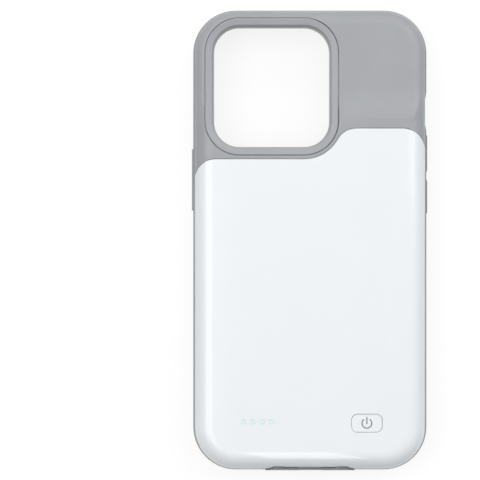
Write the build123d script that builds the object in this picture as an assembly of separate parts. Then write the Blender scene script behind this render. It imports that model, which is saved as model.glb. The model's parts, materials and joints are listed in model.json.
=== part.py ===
from build123d import *
import os
from math import asin, atan2, cos, degrees, radians, sin, sqrt

os.makedirs("parts", exist_ok=True)

# A slim battery case, in millimetres. It lies on its front lip: +Z is towards the back cover, +Y
# towards the camera end and +X to the right as the back is seen.

# Device that the case takes
device_width = 71.5
device_length = 147.5
device_thickness = 7.85
device_corner = 11.4
device_clearance = 0.1

# Soft frame
frame_corner = 14.25
side_wall = 3.05
top_wall = 2.25
bottom_wall = 3.15
lip_thickness = 0.9
lip_overlap = 0.75
lip_chamfer = 0.6
front_bevel = 0.9
shoulder_bevel = 0.3
shoulder_side = 0.6
shoulder_end = 0.4

# Outer form of the back
back_rise = 6.75
back_radius = 6.0
back_corner = 13.75

# Upper back panel, lower than the rest and met by an S-shaped ramp
panel_skin = 2.0
panel_drop = 1.1
panel_edge_radius = 4.5
panel_overrun = 0.1
ramp_foot_from_top = 26.4
ramp_radius = 33.0
ramp_angle = 10.5
crest_angle = 2.0

# Camera ring
camera_from_side = 22.97
camera_from_top = 23.41
ring_width = 44.2
ring_length = 45.5
ring_corner = 11.4
ring_gap = 0.12
ring_low_drop = 0.1
ring_high_drop = 1.35
ring_bevel = 0.25
rim_land = 0.2
flange_width = 1.75
flange_drop = 0.5
mouth_draft = 0.6
mouth_depth = 1.5
throat_draft = 0.2
foot_length = 16.0
foot_width = 0.7
foot_thickness = 1.1

# Back cover and its seam
cover_wall = 1.4
seam_gap = 0.12
seam_bevel = 0.25
seam_strip = 1.13
seam_right_from_top = 39.5
seam_outer_radius = 7.2
cover_left_corner = 7.5
cover_right_corner = 8.5
cover_corner_overrun = 0.35
ledge_reach = 2.0
ledge_thickness = 1.2
ledge_gap = 0.05

# Tabs of the cover in slots of the frame, and ribs that hold the tray down
tab_length = 8.0
tab_thickness = 0.9
tab_depth = 1.4
tab_clearance = 0.1
side_tabs_from_bottom = [18.4, 44.4, 70.4]
end_tab_offset = 22.0
rib_length = 2.0
rib_reach = 1.2

# Inner tray
tray_thickness = 0.9
tray_seat_side = 0.8
tray_seat_top = 0.6
tray_seat_bottom = 0.9
tray_corner = 12.2
tray_clearance = 0.15
tray_rib_width = 1.0
tray_rib_height = 2.0
tray_window_margin = 0.5
panel_rib_pitch = 5.0
panel_rib_count = 5

# Keys in the side walls
key_height = 3.0
key_corner = 1.2
key_bevel = 0.3
key_proud = 0.5
key_clearance = 0.15
key_inset = 0.1
key_flange = 1.0
key_flange_thickness = 0.8
volume_up_length = 12.6
volume_up_from_top = 45.15
volume_down_length = 11.6
volume_down_from_top = 59.65
side_key_length = 20.9
side_key_from_top = 54.0

# Scoop and window for the device's sound switch
switch_from_top = 31.5
scoop_length = 12.7
scoop_depth = 0.45
scoop_ramp = 2.0
switch_window_length = 7.6
switch_window_height = 3.2
switch_window_corner = 1.2

# Sound slots in the bottom wall
sound_slot_offset = 19.5
sound_slot_length = 7.0
sound_slot_height = 2.2

# Port block and charging socket in the bottom edge
block_width = 29.8
block_proud = 0.15
block_side_height = 9.6
block_hump_height = 13.0
block_hump_outer = 12.2
block_hump_inner = 9.6
block_middle_height = 12.5
block_saddle_half = 7.9
block_round = 1.2
block_depth = 1.8
block_front_wall = 1.1
block_pocket_half = 8.8
block_gap = 0.12
socket_width = 8.94
socket_height = 3.1
socket_length = 7.35
socket_wall = 0.3
socket_clearance = 0.1
socket_mouth_width = 8.4
socket_mouth_height = 2.5
tongue_width = 6.6
tongue_thickness = 0.7
tongue_length = 5.2
tongue_root = 1.1
contact_count = 6
contact_width = 0.4
contact_pitch = 0.8
contact_length = 3.0
contact_thickness = 0.1

# Plug that enters the device
plug_width = 6.7
plug_thickness = 1.5
plug_length = 6.65
plug_base_width = 9.4
plug_base_height = 2.9
plug_base_corner = 1.2
plug_clearance = 0.05
plug_skin = 1.2
plug_board_thickness = 0.8
plug_board_half = 8.5
plug_board_depth = 6.0
plug_board_ear = 3.2
plug_board_clearance = 0.1

# Main board
board_thickness = 0.8
board_half_width = 29.0
board_length = 19.5
board_from_bottom = 3.1
board_corner = 5.0
board_stand_off = 1.15
post_side = 3.2
post_inset_x = 4.0
post_inset_y = 5.5
finger_width = 2.8
finger_offset = 6.9

# Power button and the switch under it
button_x = 18.61
button_from_bottom = 16.0
button_width = 10.05
button_length = 5.85
button_corner = 1.9
button_gap = 0.12
button_set = 0.1
button_bevel = 0.15
button_flange = 1.0
button_flange_thickness = 0.7
button_flange_gap = 0.1
switch_side = 5.2
switch_height = 1.0
plunger_side = 2.2
plunger_gap = 0.1
plunger_depth = 0.35
switch_floor = 0.2

# Charge lights
light_count = 4
light_pitch = 3.09
light_radius = 0.8
light_sides = 16
light_gap = 0.05
lights_x = -17.5
lights_from_bottom = 16.55
guide_width = 3.2
guide_margin = 1.6
guide_thickness = 1.0
led_length = 1.6
led_width = 0.8
led_height = 0.6

# Battery cell and its leads
cell_width = 64.0
cell_from_seam = 3.06
cell_thickness = 3.9
cell_edge_radius = 1.3
cell_side_gap = 0.4
cell_above_board = 8.3
tape_thickness = 0.2
tape_margin = 4.0
foam_margin = 12.0
protection_length = 3.6
protection_width = 40.0
protection_thickness = 1.6
protection_gap = 1.2
cell_tab_width = 5.0
cell_tab_thickness = 0.2
cell_tab_offset = 12.0
lead_radius = 0.5
lead_offset = 8.0
lead_landing = 2.4
lead_gap = 0.02

# Parts on the main board
controller_side = 6.0
controller_height = 0.9
controller_x = 5.0
inductor_side = 6.2
inductor_height = 2.0
inductor_corner = 1.2
inductor_x = -5.0
board_part_row = 12.0
capacitor_count = 4
capacitor_size = (2.0, 1.0, 0.9)
capacitor_pitch = 2.4
capacitors_x = 11.6

# How far cuts run past the faces that they open, and how near counts as meeting
overshoot = 1.0
near = 0.01
aligned = 0.999

# Levels and edges that follow from the sizes above
bay_width = device_width + 2 * device_clearance
bay_length = device_length + 2 * device_clearance
bay_corner = device_corner + device_clearance
case_width = bay_width + 2 * side_wall
case_length = bay_length + top_wall + bottom_wall
half_width = case_width / 2
top_y = (case_length + block_proud) / 2
bottom_y = top_y - case_length
block_y = bottom_y - block_proud
bay_top = top_y - top_wall
bay_bottom = bottom_y + bottom_wall
device_top = bay_top - device_clearance

shoulder_z = lip_thickness + device_thickness + device_clearance
tray_z = shoulder_z + tray_thickness
back_z = shoulder_z + back_rise
panel_z = back_z - panel_drop
inside_z = back_z - cover_wall
board_z = tray_z + board_stand_off
board_top = board_z + board_thickness
device_middle = lip_thickness + device_thickness / 2

camera_x = -device_width / 2 + camera_from_side
camera_y = device_top - camera_from_top
button_y = bottom_y + button_from_bottom
lights_y = bottom_y + lights_from_bottom
board_low = bottom_y + board_from_bottom
board_high = board_low + board_length
board_row = bottom_y + board_part_row
cell_low = board_high + cell_above_board
seam_left_y = camera_y - ring_length / 2 - seam_strip
seam_right_y = top_y - seam_right_from_top
cell_high = seam_left_y - cell_from_seam
cell_z = tray_z + tape_thickness
cell_top = cell_z + cell_thickness
socket_y = block_y + block_front_wall
socket_z = shoulder_z + socket_height / 2
plug_board_y = bay_bottom - plug_skin
light_xs = [lights_x + (i - (light_count - 1) / 2) * light_pitch for i in range(light_count)]
contact_xs = [(i - (contact_count - 1) / 2) * contact_pitch for i in range(contact_count)]


def slab(low, high):
    """A box between two corners."""
    size = [h - l for l, h in zip(low, high)]
    middle = [(l + h) / 2 for l, h in zip(low, high)]
    return Pos(*middle) * Box(*size)


def rounded_block(x_half, y_low, y_high, corner, z_low, z_high):
    """An upright block with a rounded outline, centred on the case's middle line."""
    outline = RectangleRounded(2 * x_half, y_high - y_low, corner)
    return Pos(0, (y_low + y_high) / 2, z_low) * extrude(outline, z_high - z_low)


def taper(place, size, corner, sections):
    """A block with a rounded outline, which grows by a margin from one level to another."""
    outlines = []
    for grow, z in sections:
        outline = RectangleRounded(size[0] + 2 * grow, size[1] + 2 * grow, corner + grow)
        outlines.append(Pos(*place, z) * outline)
    return loft(outlines, ruled=True)


def top_edges(body):
    return body.faces().sort_by(Axis.Z)[-1].edges()


def bottom_edges(body):
    return body.faces().sort_by(Axis.Z)[0].edges()


def rim_edges(body):
    """The edges along the top of a body's upright walls."""
    floor = body.bounding_box().min.Z
    walls = [face for face in body.faces() if abs(face.normal_at().Z) < near]
    edges = [edge for wall in walls for edge in wall.edges()]
    return [edge for edge in edges if (edge @ 0.5).Z > floor + near and abs((edge % 0.5).Z) < aligned]


# Outer form of the back, at a depth below its surface
def hump_block(depth):
    return rounded_block(
        half_width - shoulder_side - depth,
        bottom_y + shoulder_end + depth,
        top_y - shoulder_end - depth,
        back_corner - depth,
        shoulder_z,
        back_z - depth,
    )


def hump_form(depth):
    body = hump_block(depth)
    return fillet(rim_edges(body), back_radius - depth)


def hump_room(depth):
    """The same form with a bevel that touches the rounding, for spaces inside the back."""
    body = hump_block(depth)
    return chamfer(rim_edges(body), (back_radius - depth) * (2 - sqrt(2)))


def ramp_form():
    """The upper panel, which runs down its length into a ramp of two arcs and a crest."""
    foot_y = top_y - ramp_foot_from_top
    hollow_middle = Vector(foot_y, panel_z + ramp_radius)
    hollow = CenterArc(hollow_middle, ramp_radius, 270, -ramp_angle)
    crest_middle = (hollow @ 1) * 2 - hollow_middle
    crest = CenterArc(crest_middle, ramp_radius, 90 - ramp_angle, ramp_angle - crest_angle)
    far = device_length
    slope = radians(crest_angle)
    end = (crest @ 1) + Vector(-cos(slope), sin(slope)) * far
    lines = [
        Line((far, panel_z), (foot_y, panel_z)),
        hollow,
        crest,
        Polyline(crest @ 1, end, (end.X, -far), (far, -far), (far, panel_z)),
    ]
    profile = extrude(Plane.YZ * make_face(lines), case_width, both=True)
    body = profile & rounded_block(
        half_width - shoulder_side + panel_overrun,
        bottom_y + shoulder_end - panel_overrun,
        top_y - shoulder_end + panel_overrun,
        back_corner + panel_overrun,
        shoulder_z,
        back_z + device_thickness,
    )
    return fillet(rim_edges(body), panel_edge_radius)


def back_form():
    return hump_form(0) & ramp_form()


def cover_plan(shrink):
    """Plan of the back cover, open past the sides, with its S-shaped seam moved in by shrink."""
    ring_corner_x = camera_x + ring_width / 2 - ring_corner
    ring_corner_y = camera_y - ring_length / 2 + ring_corner
    inner = ring_corner + seam_strip
    outer = seam_outer_radius
    outer_y = seam_right_y - outer
    outer_x = ring_corner_x + sqrt((inner + outer) ** 2 - (ring_corner_y - outer_y) ** 2)
    turn = degrees(atan2(outer_y - ring_corner_y, outer_x - ring_corner_x))
    side = half_width - shoulder_side + cover_corner_overrun
    left_x = -side + cover_left_corner
    left_y = seam_left_y - cover_left_corner
    right_x = side - cover_right_corner
    right_y = seam_right_y - cover_right_corner
    arcs = [
        CenterArc((left_x, left_y), cover_left_corner - shrink, 180, -90),
        CenterArc((ring_corner_x, ring_corner_y), inner + shrink, 270, 90 + turn),
        CenterArc((outer_x, outer_y), outer - shrink, 180 + turn, -90 - turn),
        CenterArc((right_x, right_y), cover_right_corner - shrink, 90, -90),
    ]
    far = case_width
    base = -case_length
    lines = [
        Line(arcs[0] @ 1, arcs[1] @ 0),
        Line(arcs[2] @ 1, arcs[3] @ 0),
        Polyline(arcs[3] @ 1, (far, right_y), (far, base), (-far, base), (-far, left_y), arcs[0] @ 0),
    ]
    return make_face(arcs[:1] + lines[:1] + arcs[1:3] + lines[1:2] + arcs[3:] + lines[2:])


def cover_prism(shrink):
    height = back_z + device_thickness
    return Pos(0, 0, shoulder_z) * extrude(cover_plan(shrink), height)


def bevelled_prism():
    """The cover's prism, with a bevel along its seam where the back is flat."""
    low = back_z - seam_bevel
    outlines = [
        Pos(0, 0, low) * cover_plan(seam_gap),
        Pos(0, 0, low + 2 * seam_bevel) * cover_plan(seam_gap + 2 * seam_bevel),
    ]
    below = Pos(0, 0, shoulder_z) * extrude(cover_plan(seam_gap), low - shoulder_z)
    return below + loft(outlines, ruled=True)


def ring_block(grow, z_low, z_high):
    """An upright block with the camera ring's outline, grown by a margin."""
    outline = RectangleRounded(ring_width + 2 * grow, ring_length + 2 * grow, ring_corner + grow)
    return Pos(camera_x, camera_y, z_low) * extrude(outline, z_high - z_low)


def ring_feet(grow):
    """A cross whose ends are the feet on the ring's four sides, grown by a margin."""
    arm = foot_length + 2 * grow
    reach_x = ring_width + 2 * (foot_width + grow)
    reach_y = ring_length + 2 * (foot_width + grow)
    cross = Rectangle(reach_x, arm) + Rectangle(arm, reach_y)
    return Pos(camera_x, camera_y, tray_z) * extrude(cross, foot_thickness + grow)


def key_outline(length, grow):
    return RectangleRounded(length + 2 * grow, key_height + 2 * grow, key_corner + grow)


def key_flange_outline(length, grow):
    return Rectangle(length + 2 * (key_flange + grow), key_height + 2 * (key_flange + grow))


def side_prism(outline, y, x_low, x_high):
    """An outline drawn on a side of the case, run through in X."""
    plane = Plane(origin=(x_low, y, device_middle), x_dir=(0, 1, 0), z_dir=(1, 0, 0))
    return extrude(plane * outline, x_high - x_low)


def end_prism(outline, x, y_low, y_high, z):
    """An outline drawn on the bottom edge of the case, run through in Y."""
    plane = Plane(origin=(x, y_high, z), x_dir=(1, 0, 0), z_dir=(0, -1, 0))
    return extrude(plane * outline, y_high - y_low)


def stadium(width, height):
    return SlotOverall(width, height)


# Keys: a head in the wall, with a flange on the bay side that keeps it from falling out
key_places = {
    "volume_up_key": (1, device_top - volume_up_from_top, volume_up_length),
    "volume_down_key": (1, device_top - volume_down_from_top, volume_down_length),
    "side_key": (-1, device_top - side_key_from_top, side_key_length),
}


def make_key(side, y, length):
    inner = bay_width / 2 + key_inset
    head = side_prism(key_outline(length, 0), y, inner, half_width + key_proud)
    head = chamfer(head.faces().sort_by(Axis.X)[-1].edges(), key_bevel)
    flange = side_prism(key_flange_outline(length, 0), y, inner, inner + key_flange_thickness)
    key = head + flange
    return key if side > 0 else mirror(key, Plane.YZ)


def key_space(side, y, length):
    bay = bay_width / 2
    head = side_prism(key_outline(length, key_clearance), y, bay - overshoot, half_width + overshoot)
    stop = bay + 2 * key_inset + key_flange_thickness
    flange = side_prism(key_flange_outline(length, key_clearance), y, bay - overshoot, stop)
    space = head + flange
    return space if side > 0 else mirror(space, Plane.YZ)


def switch_space():
    """Scoop down the edge and the window behind it for the device's sound switch."""
    y = device_top - switch_from_top
    deep = half_width - scoop_depth
    half = scoop_length / 2
    run_out = overshoot * scoop_ramp / scoop_depth
    corners = [
        (half_width + overshoot, y - half - run_out),
        (half_width, y - half),
        (deep, y - half + scoop_ramp),
        (deep, y + half - scoop_ramp),
        (half_width, y + half),
        (half_width + overshoot, y + half + run_out),
    ]
    plan = make_face(Polyline(*corners, close=True))
    scoop = Pos(0, 0, -overshoot) * extrude(plan, shoulder_z + overshoot)
    outline = RectangleRounded(switch_window_length, switch_window_height, switch_window_corner)
    return scoop + side_prism(outline, y, bay_width / 2 - overshoot, half_width + overshoot)


# Port block: a saddle-shaped boss on the bottom edge
def block_profile(grow):
    half = block_width / 2 + grow
    side = block_side_height + grow
    hump = block_hump_height + grow
    middle = block_middle_height + grow
    points = [
        (-half, front_bevel),
        (-half, side),
        (-block_hump_outer, hump),
        (-block_hump_inner, hump),
        (-block_saddle_half, middle),
        (block_saddle_half, middle),
        (block_hump_inner, hump),
        (block_hump_outer, hump),
        (half, side),
        (half, front_bevel),
    ]
    top = FilletPolyline(*points, radius=block_round)
    return make_face([top, Line(points[-1], points[0])])


def port_block():
    boss = end_prism(block_profile(0), 0, block_y, block_y + block_depth + block_proud, 0)
    low = slab((-half_width, block_y, 0), (half_width, bay_bottom, shoulder_z))
    return boss & (low + hump_form(-shoulder_end - block_proud))


def socket_space():
    """Mouth of the charging socket, and room behind it for the socket and the plug's board."""
    mouth = end_prism(
        stadium(socket_mouth_width, socket_mouth_height),
        0,
        block_y - overshoot,
        socket_y + overshoot,
        socket_z,
    )
    room = slab(
        (-block_pocket_half, socket_y, shoulder_z),
        (block_pocket_half, bay_bottom, shoulder_z + socket_height + socket_clearance),
    )
    return mouth + room


def plug_space():
    clear = plug_board_clearance
    board = slab(
        (
            -plug_board_half - clear,
            plug_board_y - plug_board_thickness - clear,
            shoulder_z - plug_board_depth - clear,
        ),
        (plug_board_half + clear, plug_board_y + clear, back_z),
    )
    outline = RectangleRounded(
        plug_base_width + 2 * plug_clearance,
        plug_base_height + 2 * plug_clearance,
        plug_base_corner + plug_clearance,
    )
    return board + end_prism(outline, 0, plug_board_y, bay_bottom + overshoot, device_middle)


def sound_slots():
    outline = stadium(sound_slot_length, sound_slot_height)
    low = block_y - overshoot
    high = bay_bottom + overshoot
    slots = [
        end_prism(outline, side * sound_slot_offset, low, high, device_middle) for side in (-1, 1)
    ]
    return slots[0] + slots[1]


# Tabs on the cover's lower edge, which stand in slots of the frame
side_tab_x = half_width - shoulder_side - cover_wall / 2
end_tab_y = bottom_y + shoulder_end + cover_wall / 2
side_tab_ys = [bottom_y + from_bottom for from_bottom in side_tabs_from_bottom]


def tabs(grow):
    long_half = tab_length / 2 + grow
    thin_half = tab_thickness / 2 + grow
    low = shoulder_z - tab_depth - grow
    bodies = []
    for side in (-1, 1):
        for y in side_tab_ys:
            x = side * side_tab_x
            bodies.append(
                slab((x - thin_half, y - long_half, low), (x + thin_half, y + long_half, shoulder_z))
            )
        x = side * end_tab_offset
        bodies.append(
            slab(
                (x - long_half, end_tab_y - thin_half, low),
                (x + long_half, end_tab_y + thin_half, shoulder_z),
            )
        )
    return bodies


def tray_outline(grow, z_low, z_high):
    return rounded_block(
        bay_width / 2 + tray_seat_side + grow,
        bay_bottom - tray_seat_bottom - grow,
        bay_top + tray_seat_top + grow,
        tray_corner + grow,
        z_low,
        z_high,
    )


def seam_ledge():
    """Step under the cover's upper edge, part of the frame."""
    depth = cover_wall + ledge_gap
    band = cover_prism(-panel_skin) - cover_prism(ledge_reach)
    left_limit = seam_left_y - cover_left_corner
    right_limit = seam_right_y - cover_right_corner
    low = tray_z + tray_clearance
    keep = slab((-half_width, left_limit, low), (0, top_y, back_z))
    keep += slab((0, right_limit, low), (half_width, top_y, back_z))
    return (hump_room(depth) - hump_room(depth + ledge_thickness)) & band & keep


def make_frame():
    walls = rounded_block(half_width, bottom_y, top_y, frame_corner, 0, shoulder_z)
    walls = chamfer(bottom_edges(walls), front_bevel)
    walls = chamfer(top_edges(walls), shoulder_bevel)
    room = rounded_block(
        half_width - shoulder_side - panel_skin,
        bottom_y + shoulder_end + panel_skin,
        top_y - shoulder_end - panel_skin,
        back_corner - panel_skin,
        shoulder_z,
        panel_z - panel_skin,
    )
    upper = back_form() - cover_prism(0) - room
    frame = walls + upper + seam_ledge() + port_block()
    frame -= rounded_block(
        bay_width / 2, bay_bottom, bay_top, bay_corner, lip_thickness, shoulder_z
    )
    frame -= tray_outline(tray_clearance, shoulder_z, tray_z + tray_clearance)
    lip_half = device_width / 2 - lip_overlap
    lip_low = bay_bottom + device_clearance + lip_overlap
    lip_high = device_top - lip_overlap
    lip_corner = device_corner - lip_overlap
    frame -= rounded_block(lip_half, lip_low, lip_high, lip_corner, -overshoot, lip_thickness + overshoot)
    lip_middle = (lip_low + lip_high) / 2
    lip_size = (2 * lip_half, lip_high - lip_low)
    frame -= taper((0, lip_middle), lip_size, lip_corner, ((0, lip_chamfer), (lip_chamfer, 0)))
    frame -= ring_block(ring_gap, shoulder_z, back_z + overshoot)
    frame -= ring_feet(tray_clearance)
    for place in key_places.values():
        frame -= key_space(*place)
    frame -= switch_space()
    frame -= sound_slots()
    frame -= socket_space()
    frame -= plug_space()
    for slot in tabs(tab_clearance):
        frame -= slot
    return frame


def light_outline(grow):
    """A charge light: round enough at its size, with few sides since it repeats."""
    return RegularPolygon(light_radius + grow, light_sides)


def make_cover():
    cover = (hump_form(0) & bevelled_prism()) - hump_room(cover_wall)
    cover -= end_prism(block_profile(block_gap), 0, block_y - overshoot, bay_bottom, 0)
    for tab in tabs(0):
        cover += tab
    inner = half_width - shoulder_side - cover_wall
    for side in (-1, 1):
        for y in side_tab_ys:
            rib = slab(
                (inner - rib_reach, y - rib_length / 2, tray_z),
                (inner + cover_wall / 2, y + rib_length / 2, inside_z),
            )
            rib = rib & hump_form(cover_wall / 2)
            cover += rib if side > 0 else mirror(rib, Plane.YZ)
    place = (button_x, button_y)
    size = (button_width, button_length)
    low = inside_z - overshoot
    through = cover_wall + 2 * overshoot
    cover -= taper(place, size, button_corner, ((button_gap, low), (button_gap, low + through)))
    bevel = ((button_gap, back_z - button_bevel), (button_gap + button_bevel, back_z))
    cover -= taper(place, size, button_corner, bevel)
    for x in light_xs:
        cover -= Pos(x, lights_y, low) * extrude(light_outline(light_gap), through)
    return cover


# Camera ring: its rim leans, from the cover's level at its lower end to the panel's at its upper end
ring_lean = asin((ring_high_drop - ring_low_drop) / ring_length)
ring_top = back_z - (ring_low_drop + ring_high_drop) / 2
mouth_inset = ring_bevel + rim_land + flange_width
throat_inset = mouth_inset + mouth_draft


def make_ring():
    ring = ring_block(0, tray_z, back_z) + ring_feet(0)
    rim = Plane(
        origin=(camera_x, camera_y, ring_top),
        x_dir=(1, 0, 0),
        z_dir=(0, sin(ring_lean), cos(ring_lean)),
    )
    ring -= rim * Pos(0, 0, ring_width / 2) * Box(2 * ring_width, 2 * ring_length, ring_width)
    ring = chamfer(top_edges(ring), ring_bevel)
    sections = (
        (-throat_inset - throat_draft, tray_z - overshoot - ring_top),
        (-throat_inset, -flange_drop - mouth_depth),
        (-mouth_inset, -flange_drop),
        (-ring_bevel - rim_land, 0),
    )
    return ring - rim * taper((0, 0), (ring_width, ring_length), ring_corner, sections)


def make_tray():
    tray = tray_outline(0, shoulder_z, tray_z)
    low = shoulder_z - overshoot
    high = tray_z + overshoot
    tray -= ring_block(tray_window_margin - throat_inset - throat_draft, low, high)
    rib_in = cell_width / 2 + cell_side_gap
    rib_out = rib_in + tray_rib_width
    rib_top = tray_z + tray_rib_height
    for side in (-1, 1):
        rib = slab((rib_in, cell_low, tray_z), (rib_out, cell_high, rib_top))
        tray += rib if side > 0 else mirror(rib, Plane.YZ)
    stop = cell_high + cell_side_gap
    tray += slab((-rib_out, stop, tray_z), (rib_out, stop + tray_rib_width, rib_top))
    rib_x = camera_x + ring_width / 2 + foot_width + panel_rib_pitch / 2
    panel_under = panel_z - panel_skin - tray_clearance
    for i in range(panel_rib_count):
        x = rib_x + i * panel_rib_pitch
        tray += slab(
            (x, top_y - ramp_foot_from_top, tray_z),
            (x + tray_rib_width, device_top - frame_corner, panel_under),
        )
    for side in (-1, 1):
        for y in (board_low + post_inset_y, board_high - post_inset_y):
            x = side * (board_half_width - post_inset_x)
            tray += Pos(x, y, tray_z) * extrude(Rectangle(post_side, post_side), board_stand_off)
    half = socket_width / 2 + socket_clearance
    end = socket_y + socket_length + socket_clearance
    tray -= slab((-half, block_y, low), (half, end, high))
    return tray


# Battery cell: a soft pouch on tape, with its protection board across the lower end
def make_cell():
    cell = slab((-cell_width / 2, cell_low, cell_z), (cell_width / 2, cell_high, cell_top))
    return fillet(cell.edges().filter_by(Axis.Y), cell_edge_radius)


protection_low = cell_low - protection_gap - protection_length
protection_z = (cell_z + cell_top - protection_thickness) / 2
protection_top = protection_z + protection_thickness


def make_protection():
    return slab(
        (-protection_width / 2, protection_low, protection_z),
        (protection_width / 2, protection_low + protection_length, protection_top),
    )


def make_cell_tabs():
    middle = (protection_z + protection_top) / 2
    strips = [
        slab(
            (x - cell_tab_width / 2, cell_low - protection_gap, middle - cell_tab_thickness / 2),
            (x + cell_tab_width / 2, cell_low, middle + cell_tab_thickness / 2),
        )
        for x in (-cell_tab_offset, cell_tab_offset)
    ]
    return Compound(children=strips)


def make_lead(side):
    """A lead from the protection board to its pad, lying on the main board."""
    height = board_top + lead_radius + lead_gap
    end = board_high - lead_landing
    return end_prism(Circle(lead_radius), side * lead_offset, end, protection_low, height)


def make_tape():
    half = cell_width / 2 - tape_margin
    return slab((-half, cell_low + tape_margin, tray_z), (half, cell_high - tape_margin, cell_z))


def make_foam():
    half = cell_width / 2 - foam_margin
    return slab((-half, cell_low + foam_margin, cell_top), (half, cell_high - foam_margin, inside_z))


def make_board():
    board = Pos(0, (board_low + board_high) / 2, board_z) * extrude(
        RectangleRounded(2 * board_half_width, board_length, board_corner), board_thickness
    )
    half = socket_width / 2 + socket_clearance
    end = socket_y + socket_length + socket_clearance
    board -= slab(
        (-half, board_low - overshoot, board_z - overshoot), (half, end, board_top + overshoot)
    )
    for side in (-1, 1):
        x = side * finger_offset
        board += slab(
            (x - finger_width / 2, plug_board_y, board_z),
            (x + finger_width / 2, board_low + overshoot, board_top),
        )
    return board


def on_board(x, y, size_x, size_y, height):
    return Pos(x, y, board_top + height / 2) * Box(size_x, size_y, height)


def make_controller():
    return on_board(controller_x, board_row, controller_side, controller_side, controller_height)


def make_inductor():
    body = on_board(inductor_x, board_row, inductor_side, inductor_side, inductor_height)
    return chamfer(body.edges().filter_by(Axis.Z), inductor_corner)


def make_capacitors():
    row_start = board_row - (capacitor_count - 1) / 2 * capacitor_pitch
    bodies = [
        on_board(capacitors_x, row_start + i * capacitor_pitch, *capacitor_size)
        for i in range(capacitor_count)
    ]
    return Compound(children=bodies)


# Power button: a cap with a flange under the cover, resting on the switch's plunger
flange_top = inside_z - button_flange_gap
flange_low = flange_top - button_flange_thickness


def make_button():
    cap = Pos(button_x, button_y, flange_low) * extrude(
        RectangleRounded(button_width, button_length, button_corner), back_z - button_set - flange_low
    )
    cap = chamfer(top_edges(cap), button_bevel)
    flange = Rectangle(button_width + 2 * button_flange, button_length + 2 * button_flange)
    return cap + Pos(button_x, button_y, flange_low) * extrude(flange, button_flange_thickness)


def make_plunger():
    low = board_top + switch_height - plunger_depth
    return Pos(button_x, button_y, low) * extrude(Rectangle(plunger_side, plunger_side), flange_low - low)


def make_switch():
    body = on_board(button_x, button_y, switch_side, switch_side, switch_height)
    well_side = plunger_side + 2 * plunger_gap
    well = Rectangle(well_side, well_side)
    return body - Pos(button_x, button_y, board_top + switch_floor) * extrude(well, switch_height)


def make_guide():
    half = (light_count - 1) / 2 * light_pitch + guide_margin
    low = inside_z - guide_thickness
    guide = Pos(lights_x, lights_y, low) * extrude(
        Rectangle(2 * half, guide_width), guide_thickness
    )
    for x in light_xs:
        guide += Pos(x, lights_y, low) * extrude(light_outline(0), back_z - low)
    return guide


# Charging socket: a rolled shell round a tongue with contacts on both faces
def make_socket_shell():
    outer = stadium(socket_width, socket_height)
    inner = stadium(socket_width - 2 * socket_wall, socket_height - 2 * socket_wall)
    return end_prism(outer - inner, 0, socket_y, socket_y + socket_length, socket_z)


def make_tongue():
    end = socket_y + socket_length
    root = end_prism(
        stadium(socket_width - 2 * socket_wall, socket_height - 2 * socket_wall),
        0,
        end - tongue_root,
        end,
        socket_z,
    )
    return root + slab(
        (-tongue_width / 2, end - tongue_root - tongue_length, socket_z - tongue_thickness / 2),
        (tongue_width / 2, end - tongue_root, socket_z + tongue_thickness / 2),
    )


def contact_rows(half_thickness, y_low, z):
    """Two rows of contact strips, on the upper and the lower face of a tongue or tab."""
    strip = Box(contact_width, contact_length, contact_thickness)
    strips = []
    for side in (-1, 1):
        middle = z + side * (half_thickness + contact_thickness / 2)
        for x in contact_xs:
            strips.append(Pos(x, y_low + contact_length / 2, middle) * strip)
    return Compound(children=strips)


def make_socket_contacts():
    low = socket_y + socket_length - tongue_root - contact_length
    return contact_rows(tongue_thickness / 2, low, socket_z)


# Plug: a flat tab on a base, soldered to a board that stands in the bottom wall
def make_plug_tab():
    tab = stadium(plug_width, plug_thickness)
    return end_prism(tab, 0, bay_bottom, bay_bottom + plug_length, device_middle)


def make_plug_contacts():
    low = bay_bottom + plug_length - contact_length - plug_thickness
    return contact_rows(plug_thickness / 2, low, device_middle)


def make_plug_base():
    outline = RectangleRounded(plug_base_width, plug_base_height, plug_base_corner)
    return end_prism(outline, 0, plug_board_y, bay_bottom, device_middle)


def make_plug_board():
    back = plug_board_y - plug_board_thickness
    low = shoulder_z - plug_board_depth
    board = slab((-plug_board_half, back, low), (plug_board_half, plug_board_y, shoulder_z))
    for side in (-1, 1):
        ear = slab(
            (plug_board_half - plug_board_ear, back, shoulder_z), (plug_board_half, plug_board_y, board_top)
        )
        board += ear if side > 0 else mirror(ear, Plane.YZ)
    return board


nodes = {
    "bumper_frame": make_frame(),
    "back_cover": make_cover(),
    "inner_tray": make_tray(),
    "camera_ring": make_ring(),
    "power_button": make_button(),
    "switch_plunger": make_plunger(),
    "tact_switch": make_switch(),
    "light_guide": make_guide(),
    "battery_cell": make_cell(),
    "cell_protection_board": make_protection(),
    "cell_tabs": make_cell_tabs(),
    "red_lead": make_lead(-1),
    "black_lead": make_lead(1),
    "cell_tape": make_tape(),
    "foam_pad": make_foam(),
    "main_board": make_board(),
    "charge_controller": make_controller(),
    "power_inductor": make_inductor(),
    "filter_capacitors": make_capacitors(),
    "socket_shell": make_socket_shell(),
    "socket_tongue": make_tongue(),
    "socket_contacts": make_socket_contacts(),
    "plug_tab": make_plug_tab(),
    "plug_contacts": make_plug_contacts(),
    "plug_base": make_plug_base(),
    "plug_board": make_plug_board(),
}
for name, place in key_places.items():
    nodes[name] = make_key(*place)
for i, x in enumerate(light_xs):
    nodes[f"indicator_led_{i + 1}"] = on_board(x, lights_y, led_length, led_width, led_height)

for name, body in nodes.items():
    export_step(body, f"parts/{name}.step")
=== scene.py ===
import json
import math

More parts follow.
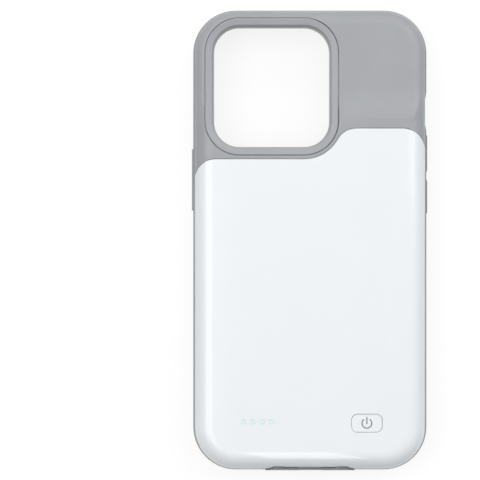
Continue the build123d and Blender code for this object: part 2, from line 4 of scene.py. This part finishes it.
import bpy
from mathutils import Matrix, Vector


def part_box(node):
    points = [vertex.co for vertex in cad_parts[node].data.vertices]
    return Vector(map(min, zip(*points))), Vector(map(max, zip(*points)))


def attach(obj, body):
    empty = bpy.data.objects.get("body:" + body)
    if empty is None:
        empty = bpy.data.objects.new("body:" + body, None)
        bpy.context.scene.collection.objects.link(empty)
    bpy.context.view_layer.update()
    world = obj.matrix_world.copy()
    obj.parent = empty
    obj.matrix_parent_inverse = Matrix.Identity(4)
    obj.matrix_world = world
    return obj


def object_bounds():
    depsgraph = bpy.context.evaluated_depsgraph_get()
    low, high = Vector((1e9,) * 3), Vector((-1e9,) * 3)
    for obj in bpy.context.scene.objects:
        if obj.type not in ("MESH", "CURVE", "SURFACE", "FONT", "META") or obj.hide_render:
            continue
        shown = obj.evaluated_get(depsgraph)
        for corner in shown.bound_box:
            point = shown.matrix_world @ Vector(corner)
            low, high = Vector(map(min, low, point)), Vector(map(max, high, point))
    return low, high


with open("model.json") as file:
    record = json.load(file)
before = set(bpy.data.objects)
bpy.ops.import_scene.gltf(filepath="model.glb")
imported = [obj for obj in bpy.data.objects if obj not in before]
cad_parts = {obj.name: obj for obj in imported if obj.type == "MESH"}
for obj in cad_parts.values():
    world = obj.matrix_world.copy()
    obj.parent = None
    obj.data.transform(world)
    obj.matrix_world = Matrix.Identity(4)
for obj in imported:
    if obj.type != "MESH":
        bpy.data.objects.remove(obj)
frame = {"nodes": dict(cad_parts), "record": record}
cad_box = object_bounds()
nodes = frame["nodes"]
MM = 0.001

# View: straight down on the back of the case, with the camera end at the top of the picture
IMAGE_PIXELS = 480
PIXEL_MM = 0.3346
OUTLINE_LEVEL_MM = 7.0
CASE_MIDDLE_PIXEL = (309.65, 240.2)
CAMERA_HEIGHT_MM = 670.0
SENSOR_MM = 36.0

# Moulded finishes: colour, range of roughness, grain and its height in mm, drift of colour, clear coat
MOULDINGS = {
    "soft_grey": ((0.354, 0.364, 0.383), (0.30, 0.38), 0.18, 0.003, 0.03, 0.0),
    "ring_grey": ((0.354, 0.364, 0.383), (0.30, 0.38), 0.15, 0.003, 0.03, 0.0),
    "white_gloss": ((0.845, 0.877, 0.903), (0.29, 0.36), 0.9, 0.0006, 0.006, 1.0),
    "key_grey": ((0.16, 0.165, 0.172), (0.34, 0.42), 0.12, 0.003, 0.03, 0.0),
    "tray_grey": ((0.33, 0.335, 0.345), (0.5, 0.62), 0.25, 0.01, 0.03, 0.0),
    "milky_guide": ((0.75, 0.905, 0.85), (0.29, 0.34), 0.4, 0.001, 0.01, 0.0),
    "board_green": ((0.03, 0.16, 0.07), (0.3, 0.4), 0.3, 0.004, 0.03, 0.0),
    "black_plastic": ((0.02, 0.02, 0.022), (0.4, 0.5), 0.15, 0.003, 0.03, 0.0),
    "ferrite": ((0.09, 0.09, 0.095), (0.55, 0.7), 0.1, 0.006, 0.03, 0.0),
    "capacitor_tan": ((0.42, 0.28, 0.16), (0.4, 0.5), 0.1, 0.003, 0.03, 0.0),
    "led_clear": ((0.82, 0.85, 0.70), (0.2, 0.3), 0.1, 0.002, 0.03, 0.0),
    "tape": ((0.86, 0.84, 0.76), (0.6, 0.7), 0.2, 0.006, 0.03, 0.0),
    "foam": ((0.05, 0.05, 0.052), (0.8, 0.9), 0.2, 0.03, 0.03, 0.0),
    "red_sleeve": ((0.50, 0.02, 0.02), (0.4, 0.5), 0.2, 0.003, 0.03, 0.0),
    "black_sleeve": ((0.015, 0.015, 0.016), (0.4, 0.5), 0.2, 0.003, 0.03, 0.0),
}
COAT_ROUGHNESS = 0.04

# Metal finishes: colour and range of roughness
METALS = {
    "steel": ((0.60, 0.61, 0.62), (0.28, 0.36)),
    "gilt": ((0.85, 0.62, 0.28), (0.28, 0.34)),
    "nickel": ((0.62, 0.60, 0.56), (0.3, 0.4)),
    "pouch": ((0.62, 0.63, 0.64), (0.4, 0.5)),
}
METAL_DARKEST = 0.9
METAL_GRAIN_HEIGHT = 0.004

# Noises in the finishes, in cells a metre, and the part of their range that is used
DRIFT_CELLS = 60.0
GLOSS_CELLS = 220.0
METAL_DRIFT_CELLS = 900.0
METAL_GLOSS_CELLS = 2500.0
METAL_GRAIN_CELLS = 4000.0
NOISE_LOW = 0.3
NOISE_HIGH = 0.7

# Painted shade on the charging block in the frame's bottom edge, a darker grey for the shadow on it: half
# width, depth and lowest level, in millimetres
BLOCK_HALF_WIDTH = 14.95
BLOCK_DEPTH = 2.0
BLOCK_LOW = 9.6
# The darker grey of the painted shade on the charging block
BLOCK_SHADE_COLOR = (0.15, 0.153, 0.16)

# Power sign on the button, in millimetres and degrees
SIGN_RADIUS = 1.6
SIGN_STROKE = 0.37
SIGN_HEIGHT = 0.06
SIGN_GAP = 40.0
SIGN_BAR = (-0.1, 1.95)
SIGN_STEPS = 48
SIGN_PROFILE = ((-1.0, 0.0), (-0.8, 0.8), (0.0, 1.0), (0.8, 0.8), (1.0, 0.0))
SIGN_END_TURNS = (4, 25, 45, 65)

# Soft crest round the lower right corner of the grey panel, in millimetres
CREST_X = 36.0
CREST_Y = 39.5
CREST_ROUND = 5.5
CREST_TOP = 51.0
CREST_LEFT = 14.0
CREST_HALF_WIDTH = 1.7
CREST_HEIGHT = 0.2
CREST_SINK = 0.01
CREST_RISER = 0.45
CREST_DEPTH = 0.3
CREST_FADE = 7.0
CREST_STEPS = 80
CREST_LANES = 16

# Lengths of the crest's straight side, its bend and its whole line, in millimetres
CREST_SIDE = CREST_TOP - CREST_Y - CREST_ROUND
CREST_BEND = CREST_ROUND * math.pi / 2
CREST_LENGTH = CREST_SIDE + CREST_BEND + CREST_X - CREST_ROUND - CREST_LEFT

# Light and floor
WORLD_COLOR = (0.97, 0.985, 1.0, 1.0)
WORLD_STRENGTH = 0.14
FLOOR_SIZE = 6.0
FLOOR_DROP_MM = 0.2
FLOOR_COLOR = 0.2
FLOOR_ROUGHNESS = 0.9
FLOOR_LIFT = 0.83
WHITE = (1.0, 1.0, 1.0, 1.0)


def new_object(name, data):
    thing = bpy.data.objects.new(name, data)
    bpy.context.scene.collection.objects.link(thing)
    return thing


def new_piece(name, verts, faces, material):
    mesh = bpy.data.meshes.new(name)
    mesh.from_pydata(verts, [], faces)
    mesh.materials.append(material)
    return new_object(name, mesh)


def new_material(name):
    material = bpy.data.materials.new(name)
    material.use_nodes = True
    tree = material.node_tree
    return material, tree, tree.nodes["Principled BSDF"]


def add(tree, kind, **values):
    node = tree.nodes.new(kind)
    for key, value in values.items():
        setattr(node, key, value)
    return node


def noise(tree, cells, detail=2.0, roughness=0.5):
    """A noise in object space, with so many cells in a metre."""
    place = add(tree, "ShaderNodeTexCoord")
    texture = add(tree, "ShaderNodeTexNoise")
    texture.inputs["Scale"].default_value = cells
    texture.inputs["Detail"].default_value = detail
    texture.inputs["Roughness"].default_value = roughness
    tree.links.new(place.outputs["Object"], texture.inputs["Vector"])
    return texture.outputs["Fac"]


def spread(tree, source, low, high):
    """Map a noise onto a range of numbers."""
    node = add(tree, "ShaderNodeMapRange")
    node.inputs["From Min"].default_value = NOISE_LOW
    node.inputs["From Max"].default_value = NOISE_HIGH
    node.inputs["To Min"].default_value = low
    node.inputs["To Max"].default_value = high
    tree.links.new(source, node.inputs["Value"])
    return node.outputs["Result"]


def tone(tree, source, low, high):
    """Map a noise onto a range of colours."""
    node = add(tree, "ShaderNodeMix", data_type="RGBA")
    node.inputs["A"].default_value = (*low, 1.0)
    node.inputs["B"].default_value = (*high, 1.0)
    tree.links.new(source, node.inputs["Factor"])
    return node.outputs["Result"]


def bump(tree, source, height_mm, shader):
    node = add(tree, "ShaderNodeBump")
    node.inputs["Strength"].default_value = 1.0
    node.inputs["Distance"].default_value = height_mm * MM
    tree.links.new(source, node.inputs["Height"])
    tree.links.new(node.outputs["Normal"], shader.inputs["Normal"])


def moulding(name, color, rough, grain_mm, grain_height_mm, shade, coat):
    """A moulded plastic: a fine grain, a slow drift of colour and uneven gloss."""
    material, tree, shader = new_material(name)
    drift = spread(tree, noise(tree, DRIFT_CELLS), 0.0, 1.0)
    low = [value * (1.0 - shade) for value in color]
    high = [min(value * (1.0 + shade), 1.0) for value in color]
    tree.links.new(tone(tree, drift, low, high), shader.inputs["Base Color"])
    gloss = noise(tree, GLOSS_CELLS, detail=4.0)
    tree.links.new(spread(tree, gloss, rough[0], rough[1]), shader.inputs["Roughness"])
    bump(tree, noise(tree, 1.0 / (grain_mm * MM), detail=3.0), grain_height_mm, shader)
    shader.inputs["Coat Weight"].default_value = coat
    shader.inputs["Coat Roughness"].default_value = COAT_ROUGHNESS
    return material


def metal(name, color, rough):
    """A metal: a fine drift of colour, uneven gloss and a faint grain."""
    material, tree, shader = new_material(name)
    shader.inputs["Metallic"].default_value = 1.0
    drift = spread(tree, noise(tree, METAL_DRIFT_CELLS, detail=5.0), 0.0, 1.0)
    low = [value * METAL_DARKEST for value in color]
    tree.links.new(tone(tree, drift, low, color), shader.inputs["Base Color"])
    gloss = noise(tree, METAL_GLOSS_CELLS)
    tree.links.new(spread(tree, gloss, rough[0], rough[1]), shader.inputs["Roughness"])
    bump(tree, noise(tree, METAL_GRAIN_CELLS), METAL_GRAIN_HEIGHT, shader)
    return material


def finishes():
    """One material for each slot of the record."""
    looks = {name: moulding(name, *values) for name, values in MOULDINGS.items()}
    looks.update({name: metal(name, *values) for name, values in METALS.items()})
    return looks


def box_mask(tree, low, high):
    """1 inside a box in object space, 0 outside, from its corners in metres."""
    middle = [(a + b) / 2 for a, b in zip(low, high)]
    half = [(b - a) / 2 for a, b in zip(low, high)]
    value = add(tree, "ShaderNodeTexCoord").outputs["Object"]
    for operation, other in (("SUBTRACT", middle), ("ABSOLUTE", None), ("SUBTRACT", half)):
        step = add(tree, "ShaderNodeVectorMath", operation=operation)
        tree.links.new(value, step.inputs[0])
        if other:
            step.inputs[1].default_value = other
        value = step.outputs["Vector"]
    split = add(tree, "ShaderNodeSeparateXYZ")
    tree.links.new(value, split.inputs["Vector"])
    farthest = split.outputs["X"]
    for axis in ("Y", "Z"):
        larger = add(tree, "ShaderNodeMath", operation="MAXIMUM")
        tree.links.new(farthest, larger.inputs[0])
        tree.links.new(split.outputs[axis], larger.inputs[1])
        farthest = larger.outputs[0]
    inside = add(tree, "ShaderNodeMath", operation="LESS_THAN")
    inside.inputs[1].default_value = 0.0
    tree.links.new(farthest, inside.inputs[0])
    return inside.outputs[0]


def paint_block_shade(material):
    """Paint shade on the charging block, the part of the frame that rises into the cover, as a darker grey.
    """
    tree = material.node_tree
    shader = tree.nodes["Principled BSDF"]
    grey = shader.inputs["Base Color"].links[0].from_socket
    bottom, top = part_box("bumper_frame")
    low = (-BLOCK_HALF_WIDTH * MM, bottom[1] - MM, BLOCK_LOW * MM)
    high = (BLOCK_HALF_WIDTH * MM, bottom[1] + BLOCK_DEPTH * MM, top[2])
    # Painted shade: inside the block's box the darker grey replaces the frame's grey
    mix = add(tree, "ShaderNodeMix", data_type="RGBA")
    tree.links.new(box_mask(tree, low, high), mix.inputs["Factor"])
    tree.links.new(grey, mix.inputs["A"])
    mix.inputs["B"].default_value = (*BLOCK_SHADE_COLOR, 1.0)
    tree.links.new(mix.outputs["Result"], shader.inputs["Base Color"])


def dress(looks):
    """Give each CAD node the finish of its material slot."""
    for row in frame["record"]["subparts"]:
        data = nodes[row["node"]].data
        data.materials.clear()
        data.materials.append(looks[row["material_slot"]])


def stroke(points):
    """A low bead with round ends along a line of points, as vertices and faces."""
    half = SIGN_STROKE / 2
    back = (points[0] - points[1]).normalized()
    ahead = (points[-1] - points[-2]).normalized()
    turns = [math.radians(turn) for turn in SIGN_END_TURNS]
    rows = [(points[0] + back * half * math.cos(turn), math.sin(turn)) for turn in turns]
    rows += [(point, 1.0) for point in points]
    rows += [(points[-1] + ahead * half * math.cos(turn), math.sin(turn)) for turn in reversed(turns)]
    count = len(SIGN_PROFILE)
    verts = []
    faces = []
    for i, (point, width) in enumerate(rows):
        along = rows[min(i + 1, len(rows) - 1)][0] - rows[max(i - 1, 0)][0]
        across = Vector((-along.y, along.x, 0.0)).normalized()
        for side, height in SIGN_PROFILE:
            rise = Vector((0.0, 0.0, height * width * SIGN_HEIGHT))
            verts.append(point + across * side * half * width + rise)
        if i:
            start = (i - 1) * count
            for j in range(count):
                k = (j + 1) % count
                faces.append((start + j, start + count + j, start + count + k, start + k))
    faces.append(tuple(reversed(range(count))))
    faces.append(tuple(range(len(verts) - count, len(verts))))
    return verts, faces


def add_power_sign(material):
    """The generic power sign, raised a little on the button's cap."""
    start = math.radians(90.0 + SIGN_GAP)
    sweep = math.radians(360.0 - 2 * SIGN_GAP)
    turns = [start + sweep * i / SIGN_STEPS for i in range(SIGN_STEPS + 1)]
    arc = [Vector((math.cos(turn), math.sin(turn), 0.0)) * SIGN_RADIUS for turn in turns]
    bar = [Vector((0.0, y, 0.0)) for y in SIGN_BAR]
    low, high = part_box("power_button")
    verts = []
    faces = []
    for points in (arc, bar):
        more, sides = stroke(points)
        faces += [tuple(i + len(verts) for i in face) for face in sides]
        verts += more
    sign = new_piece("power_sign", [vert * MM for vert in verts], faces, material)
    sign.location = ((low[0] + high[0]) / 2, (low[1] + high[1]) / 2, high[2])
    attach(sign, "power_button")


def smooth(share):
    """A soft step from 0 to 1."""
    share = max(0.0, min(1.0, share))
    return share * share * (3.0 - 2.0 * share)


def crest_point(along):
    """The place and the sideways direction at a distance along the crest's line."""
    if along < CREST_SIDE:
        return Vector((CREST_X, CREST_TOP - along, 0.0)), Vector((1.0, 0.0, 0.0))
    if along > CREST_SIDE + CREST_BEND:
        x = CREST_X - CREST_ROUND - (along - CREST_SIDE - CREST_BEND)
        return Vector((x, CREST_Y, 0.0)), Vector((0.0, -1.0, 0.0))
    turn = (along - CREST_SIDE) / CREST_ROUND
    out = Vector((math.cos(turn), -math.sin(turn), 0.0))
    centre = Vector((CREST_X - CREST_ROUND, CREST_Y + CREST_ROUND, 0.0))
    return centre + out * CREST_ROUND, out


def crest_verts():
    """The crest's upper points, raised from the frame's surface, and its lower ones, sunk into the frame."""
    shell = nodes["bumper_frame"]
    above = cad_box[1][2] + MM
    limit = cad_box[1][2] - CREST_SINK * MM
    upper = []
    lower = []
    for i in range(CREST_STEPS + 1):
        along = CREST_LENGTH * i / CREST_STEPS
        place, out = crest_point(along)
        fade = smooth(along / CREST_FADE) * smooth((CREST_LENGTH - along) / CREST_FADE)
        for j in range(CREST_LANES + 1):
            across = j / CREST_LANES
            start = (place + out * (2.0 * across - 1.0) * CREST_HALF_WIDTH) * MM
            start.z = above
            spot = shell.ray_cast(start, (0.0, 0.0, -1.0))[1]
            shape = smooth(across / CREST_RISER) * smooth((1.0 - across) / (1.0 - CREST_RISER))
            rise = CREST_HEIGHT * fade * shape - CREST_SINK
            upper.append(Vector((spot.x, spot.y, min(spot.z + rise * MM, limit))))
            lower.append(spot - Vector((0.0, 0.0, CREST_DEPTH * MM)))
    return upper, lower


def crest_faces(count):
    """The crest's top, bottom and sides, where the lower points come after the upper ones."""
    row = CREST_LANES + 1
    faces = []
    for i in range(CREST_STEPS):
        for j in range(CREST_LANES):
            a = i * row + j
            quad = (a, a + row, a + row + 1, a + 1)
            faces.append(quad)
            faces.append(tuple(count + k for k in reversed(quad)))
    edge = list(range(row))
    edge += [i * row + CREST_LANES for i in range(1, CREST_STEPS + 1)]
    edge += [CREST_STEPS * row + j for j in range(CREST_LANES - 1, -1, -1)]
    edge += [i * row for i in range(CREST_STEPS - 1, 0, -1)]
    for a, b in zip(edge, edge[1:] + edge[:1]):
        faces.append((a, b, count + b, count + a))
    return faces


def add_panel_crest(material):
    """The soft crest where the grey panel ends, laid on the frame and faded out at both ends."""
    upper, lower = crest_verts()
    crest = new_piece("panel_crest", upper + lower, crest_faces(len(upper)), material)
    faces = crest.data.polygons
    faces.foreach_set("use_smooth", [True] * len(faces))
    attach(crest, "case_body")


def background_rays(tree):
    """1 for the rays that see the white background: the camera's, and mirrored and refracted ones."""
    path = add(tree, "ShaderNodeLightPath")
    value = path.outputs["Is Camera Ray"]
    for name in ("Is Glossy Ray", "Is Transmission Ray"):
        join = add(tree, "ShaderNodeMath", operation="MAXIMUM")
        tree.links.new(value, join.inputs[0])
        tree.links.new(path.outputs[name], join.inputs[1])
        value = join.outputs[0]
    return value


def add_floor():
    """A pale floor that is white to the camera and keeps the shadow."""
    material, tree, shader = new_material("floor_white")
    shader.inputs["Base Color"].default_value = (FLOOR_COLOR, FLOOR_COLOR, FLOOR_COLOR, 1.0)
    shader.inputs["Roughness"].default_value = FLOOR_ROUGHNESS
    shader.inputs["Specular IOR Level"].default_value = 0.0
    shader.inputs["Emission Color"].default_value = WHITE
    lift = add(tree, "ShaderNodeMath", operation="MULTIPLY")
    lift.inputs[1].default_value = FLOOR_LIFT
    tree.links.new(background_rays(tree), lift.inputs[0])
    tree.links.new(lift.outputs[0], shader.inputs["Emission Strength"])
    half = FLOOR_SIZE / 2
    corners = [(-half, -half, 0.0), (half, -half, 0.0), (half, half, 0.0), (-half, half, 0.0)]
    floor = new_piece("floor", corners, [(0, 1, 2, 3)], material)
    floor.location.z = -FLOOR_DROP_MM * MM


def add_world():
    """Dim light from all round, behind a white background."""
    world = bpy.data.worlds.new("studio")
    bpy.context.scene.world = world
    world.use_nodes = True
    tree = world.node_tree
    back = tree.nodes["Background"]
    back.inputs["Color"].default_value = WORLD_COLOR
    level = add(tree, "ShaderNodeMapRange")
    level.inputs["To Min"].default_value = WORLD_STRENGTH
    level.inputs["To Max"].default_value = 1.0
    tree.links.new(background_rays(tree), level.inputs["Value"])
    tree.links.new(level.outputs["Result"], back.inputs["Strength"])


def add_lamp(name, place, size, power, target=(0.0, 0.0, 0.0), mirrored=True):
    """A soft lamp, in metres and watts. One that isn't mirrored can't wash out the glossy cover."""
    data = bpy.data.lights.new(name, "AREA")
    data.shape = "RECTANGLE"
    data.size = size[0]
    data.size_y = size[1]
    data.energy = power
    lamp = new_object(name, data)
    lamp.location = place
    direction = Vector(target) - lamp.location
    lamp.rotation_euler = direction.to_track_quat("-Z", "Y").to_euler()
    lamp.visible_camera = False
    lamp.visible_glossy = mirrored


def add_lamps():
    """High lamps, which the cover mirrors in the photograph's view, and lower ones for soft light only."""
    add_lamp("left_overhead", (-0.52, 0.0, 1.0), (0.97, 1.2), 1.4, target=(-0.52, 0.0, 0.0))
    add_lamp("left_high", (-0.54, 0.0, 0.95), (0.8, 0.8), 2.6)
    add_lamp("left_side", (-0.75, 0.0, 0.75), (1.0, 0.8), 2.4, mirrored=False)
    add_lamp("left_low", (-1.0, 0.0, 0.35), (1.2, 0.6), 1.0, mirrored=False)
    add_lamp("right_overhead", (0.54, 0.37, 1.0), (0.82, 0.66), 1.8, target=(0.54, 0.37, 0.0))
    add_lamp("right_high", (0.62, 0.4, 0.8), (0.95, 0.6), 0.75)
    add_lamp("right_strip", (0.84, 0.3, 0.56), (0.56, 0.25), 0.9, mirrored=False)
    add_lamp("right_side", (0.95, 0.3, 0.4), (0.9, 0.7), 2.3, mirrored=False)
    add_lamp("right_fill", (0.9, -0.3, 0.6), (0.8, 0.8), 0.9, mirrored=False)
    add_lamp("top_high", (0.0, 0.55, 0.92), (1.2, 0.5), 0.9)
    add_lamp("top_strip", (0.0, 0.85, 0.56), (1.2, 0.14), 1.1, mirrored=False)
    add_lamp("top_low", (0.0, 1.0, 0.35), (1.2, 0.6), 2.7, mirrored=False)
    add_lamp("bottom_strip", (0.03, -0.55, 0.88), (0.08, 0.66), 0.5)


def add_camera():
    """The photograph's view, with the case's outline at the photograph's scale."""
    data = bpy.data.cameras.new("view")
    data.sensor_width = SENSOR_MM
    data.lens = SENSOR_MM * (CAMERA_HEIGHT_MM - OUTLINE_LEVEL_MM) / (IMAGE_PIXELS * PIXEL_MM)
    camera = new_object("view", data)
    middle = IMAGE_PIXELS / 2
    x = (middle - CASE_MIDDLE_PIXEL[0]) * PIXEL_MM
    y = (CASE_MIDDLE_PIXEL[1] - middle) * PIXEL_MM
    camera.location = (x * MM, y * MM, CAMERA_HEIGHT_MM * MM)
    bpy.context.scene.camera = camera


looks = finishes()
# Painted shade on the charging block in the frame's bottom edge
paint_block_shade(looks["soft_grey"])
dress(looks)
add_power_sign(looks["key_grey"])
add_panel_crest(looks["soft_grey"])
add_floor()
add_world()
add_lamps()
add_camera()
bpy.context.scene.view_settings.view_transform = "Standard"
